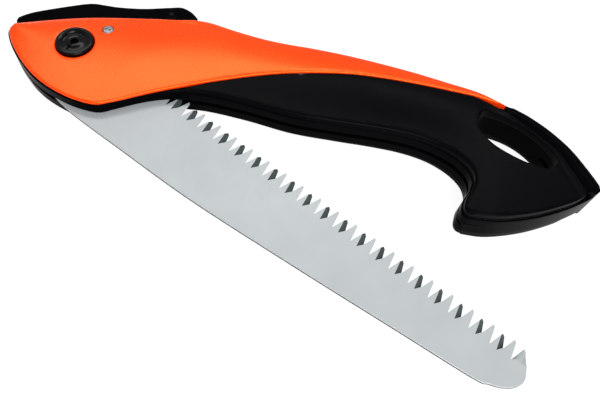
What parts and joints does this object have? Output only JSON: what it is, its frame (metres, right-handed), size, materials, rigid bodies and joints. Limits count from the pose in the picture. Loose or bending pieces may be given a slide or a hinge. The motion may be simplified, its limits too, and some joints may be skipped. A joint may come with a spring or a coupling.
{
  "type": "folding pruning saw",
  "caption": "Folding pruning saw with a pull-cut blade on a pivot bolt, a sprung lock lever on the spine, painted side covers and soft grips with a hang hole.",
  "frame": {"origin": "pivot axis of the blade, at the flat end of the pivot nut on the far side, which lies in the plane the saw rests on", "axes": "+X along the handle to its tail, +Y to the spine with the lock lever, +Z the pivot axis towards the near (upper) side"},
  "size_m": [0.2396, 0.1202, 0.019],
  "materials": {
    "black_plastic": "black glass-filled nylon, satin, fine mould texture",
    "soft_grip": "black soft-touch elastomer, satin",
    "orange_cover": "orange moulded plastic, satin gloss",
    "blade_steel": "ground carbon steel, clear low-friction coat",
    "black_bolt": "black gloss coated steel",
    "zinc_steel": "bright zinc-plated steel"
  },
  "bodies": {
    "handle": {"near_frame_shell": "black_plastic", "far_frame_shell": "black_plastic", "near_side_cover": "orange_cover", "far_side_cover": "orange_cover", "near_grip": "soft_grip", "far_grip": "soft_grip", "spine_spacer": "black_plastic", "tail_spacer": "black_plastic", "shell_screws": "zinc_steel", "pivot_bolt": "black_bolt", "pivot_nut": "black_bolt", "pivot_sleeve": "zinc_steel", "near_washer": "zinc_steel", "far_washer": "zinc_steel", "spring_washer": "zinc_steel", "stop_pin": "zinc_steel", "lever_screw": "zinc_steel", "lever_nut": "zinc_steel", "lever_spring": "zinc_steel"},
    "blade": {"saw_blade": "blade_steel"},
    "lever": {"lock_lever": "black_plastic", "lever_plate": "zinc_steel", "lock_pin": "zinc_steel", "plate_pins": "black_bolt"}
  },
  "joints": [
    {"name": "blade_fold", "type": "hinge", "parent": "handle", "child": "blade", "pos_m": [0, 0, 0.0095], "axis": [0, 0, 1], "range_deg": [-136.4, 22.1]},
    {"name": "lock_lever_rock", "type": "hinge", "parent": "handle", "child": "lever", "pos_m": [0.0093, 0.0107, 0.0095], "axis": [0, 0, -1], "range_deg": [0, 6.5], "stiffness_Nm_per_rad": 0.6, "springref_deg": -5.73, "deforming": ["lever_spring"]}
  ]
}
